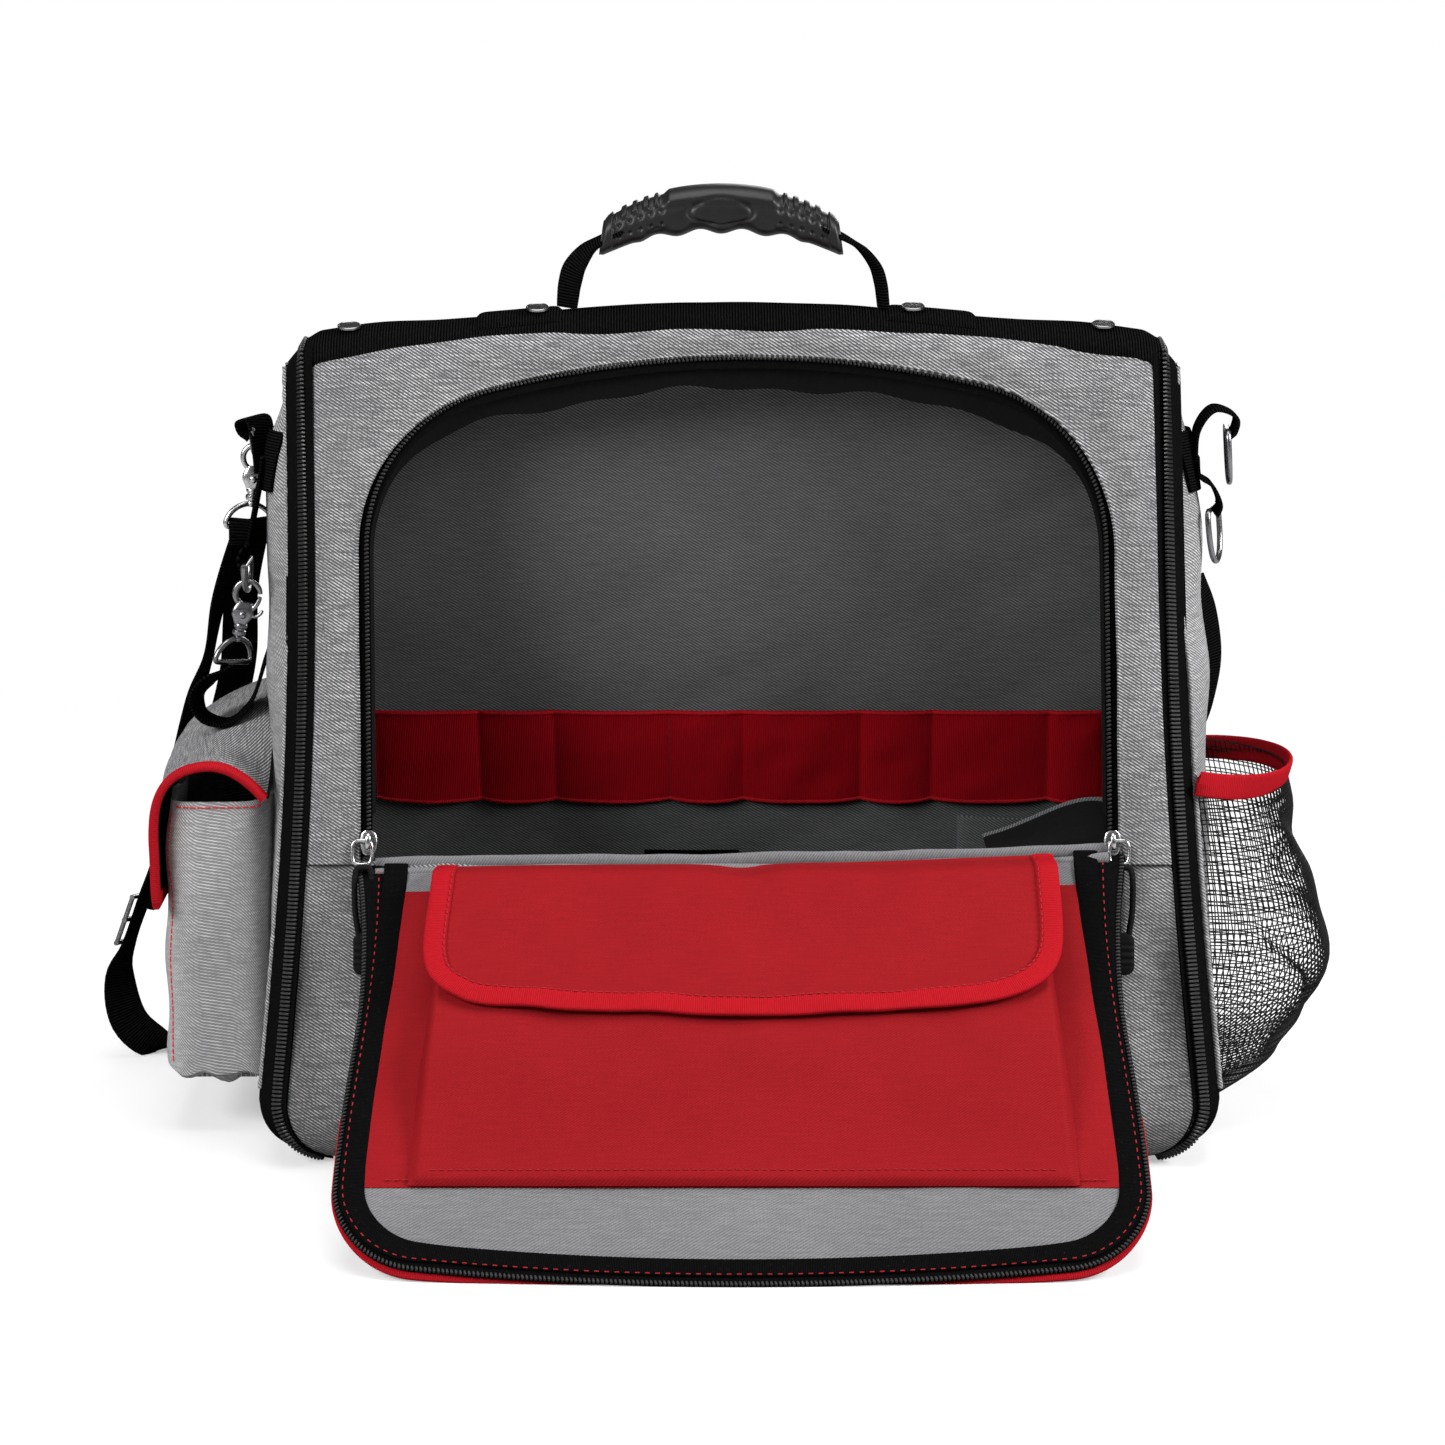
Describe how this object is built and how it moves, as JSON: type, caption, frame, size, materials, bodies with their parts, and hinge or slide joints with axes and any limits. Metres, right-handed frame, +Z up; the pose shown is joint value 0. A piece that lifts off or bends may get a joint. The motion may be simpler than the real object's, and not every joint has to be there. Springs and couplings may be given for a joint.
{
  "type": "wedge organiser carry bag",
  "caption": "Soft-sided wedge carry bag in grey twill with a drop-down zip door, red door pockets, side pockets, a grip handle and a clip-on shoulder strap.",
  "frame": {"origin": "centre of the base panel, on the face it stands on", "axes": "+X along the ridge to the net pocket end, -Y out of the door side, +Z up to the handle"},
  "size_m": [0.6366, 0.4248, 0.4674],
  "materials": {
    "grey_twill": "matte heather weave",
    "dark_lining": "matte fine twill",
    "black_webbing": "matte ribbed",
    "black_tape": "matte woven",
    "black_coil": "satin",
    "batten_plastic": "matte",
    "gunmetal": "satin",
    "slider_metal": "satin",
    "black_slider": "satin",
    "red_fabric": "matte plain weave",
    "red_binding": "matte grosgrain",
    "grey_lining": "matte fine weave",
    "black_net": "open knit net",
    "grip_rubber": "matte moulded"
  },
  "bodies": {
    "bag": {"back_lining": "dark_lining", "back_panel": "grey_twill", "base_board": "dark_lining", "base_panel": "grey_twill", "corner_zip_coils": "black_coil", "corner_zip_tapes": "black_tape", "far_hook": "gunmetal", "front_lower_panel": "grey_twill", "front_panel": "grey_twill", "handle_tabs": "black_webbing", "hinge_piping": "grey_twill", "inner_pocket": "dark_lining", "leash_webbing": "black_webbing", "left_end_panel": "grey_twill", "left_lower_ring": "gunmetal", "left_pocket": "grey_twill", "left_side_webbing": "black_webbing", "left_upper_ring": "gunmetal", "lower_hook": "gunmetal", "mesh_pocket": "black_net", "mesh_rim": "red_binding", "opening_zip_coil": "black_coil", "opening_zip_tape": "black_tape", "ridge_batten": "batten_plastic", "right_end_panel": "grey_twill", "right_side_webbing": "black_webbing", "shoulder_strap": "black_webbing", "spine_rivets": "gunmetal", "spine_webbing": "black_webbing", "strap_return": "black_webbing", "tool_loop_strip": "red_fabric", "upper_hook": "gunmetal"},
    "door": {"door_outer": "red_fabric", "door_lining": "grey_lining", "door_binding": "black_tape", "door_zip_coil": "black_coil", "door_flat_pocket": "red_fabric", "door_box_pocket": "red_fabric"},
    "door_pocket_flap": {"door_flap": "red_fabric", "door_flap_binding": "red_binding"},
    "side_flap": {"left_pocket_flap": "grey_twill", "left_flap_binding": "red_binding"},
    "carry_handle": {"handle_webbing": "black_webbing", "handle_grip": "grip_rubber"},
    "left_door_slider": {"left_slider": "slider_metal"},
    "right_door_slider": {"right_slider": "slider_metal"},
    "left_pull": {"left_pull_bail": "slider_metal", "left_pull_cord": "black_tape"},
    "right_pull": {"right_pull_bail": "slider_metal", "right_pull_cord": "black_tape"},
    "right_upper_d": {"right_upper_ring": "gunmetal"},
    "right_lower_d": {"right_lower_ring": "gunmetal"},
    "upper_eye": {"upper_hook_eye": "gunmetal"},
    "lower_eye": {"lower_hook_eye": "gunmetal"},
    "upper_trigger": {"upper_hook_trigger": "gunmetal"},
    "lower_trigger": {"lower_hook_trigger": "gunmetal"},
    "adjuster": {"strap_adjuster": "gunmetal"},
    "left_corner": {"left_corner_slider": "black_slider"},
    "right_corner": {"right_corner_slider": "black_slider"}
  },
  "joints": [
    {"name": "door_hinge", "type": "hinge", "parent": "bag", "child": "door", "pos_m": [0, -0.07686, 0.14714], "axis": [-1, 0, 0], "range_deg": [0, 141]},
    {"name": "door_pocket_flap_hinge", "type": "hinge", "parent": "door", "child": "door_pocket_flap", "pos_m": [0, -0.08426, 0.14367], "axis": [-1, 0, 0], "range_deg": [0, 110]},
    {"name": "side_flap_hinge", "type": "hinge", "parent": "bag", "child": "side_flap", "pos_m": [-0.23516, 0, 0.1985], "axis": [0, 1, 0], "range_deg": [0, 40], "deforming": ["leash_webbing", "shoulder_strap", "strap_return"]},
    {"name": "handle_swing", "type": "hinge", "parent": "bag", "child": "carry_handle", "pos_m": [0, 0, 0.41415], "axis": [1, 0, 0], "range_deg": [-80, 80], "stiffness_Nm_per_rad": 0.3},
    {"name": "left_door_slider_travel", "type": "slide", "parent": "bag", "child": "left_door_slider", "axis": [0, 0.2414, 0.9704], "range_m": [0, 0.13]},
    {"name": "right_door_slider_travel", "type": "slide", "parent": "bag", "child": "right_door_slider", "axis": [0, 0.2414, 0.9704], "range_m": [0, 0.13]},
    {"name": "left_pull_swing", "type": "hinge", "parent": "left_door_slider", "child": "left_pull", "pos_m": [-0.1818, -0.07784, 0.15811], "axis": [-1, 0, 0], "range_deg": [0, 150]},
    {"name": "right_pull_swing", "type": "hinge", "parent": "right_door_slider", "child": "right_pull", "pos_m": [0.1818, -0.07784, 0.15811], "axis": [-1, 0, 0], "range_deg": [0, 150]},
    {"name": "right_upper_ring_swing", "type": "hinge", "parent": "bag", "child": "right_upper_d", "pos_m": [0.24163, 0, 0.349], "axis": [0, -1, 0], "range_deg": [0, 75]},
    {"name": "right_lower_ring_swing", "type": "hinge", "parent": "bag", "child": "right_lower_d", "pos_m": [0.23563, 0, 0.309], "axis": [0, -1, 0], "range_deg": [0, 75]},
    {"name": "upper_hook_swivel", "type": "hinge", "parent": "bag", "child": "upper_eye", "pos_m": [-0.24406, 0.006, 0.31345], "axis": [0.1219, 0, 0.9925], "range_deg": [-12, 12]},
    {"name": "lower_hook_swivel", "type": "hinge", "parent": "bag", "child": "lower_eye", "pos_m": [-0.25046, -0.01, 0.24789], "axis": [0.2419, 0, 0.9703], "range_deg": [-12, 12]},
    {"name": "upper_hook_trigger_pivot", "type": "hinge", "parent": "bag", "child": "upper_trigger", "pos_m": [-0.24295, 0.006, 0.32248], "axis": [0, -1, 0], "range_deg": [0, 22], "stiffness_Nm_per_rad": 0.004},
    {"name": "lower_hook_trigger_pivot", "type": "hinge", "parent": "bag", "child": "lower_trigger", "pos_m": [-0.24826, -0.01, 0.25672], "axis": [0, -1, 0], "range_deg": [0, 22], "stiffness_Nm_per_rad": 0.004},
    {"name": "strap_adjuster_travel", "type": "slide", "parent": "bag", "child": "adjuster", "axis": [0.3366, 0.1122, 0.9349], "range_m": [0, 0.024]},
    {"name": "left_corner_slider_travel", "type": "slide", "parent": "bag", "child": "left_corner", "axis": [0.0452, -0.2411, 0.9694], "range_m": [0, 0.24]},
    {"name": "right_corner_slider_travel", "type": "slide", "parent": "bag", "child": "right_corner", "axis": [-0.0452, -0.2411, 0.9694], "range_m": [0, 0.24]}
  ]
}
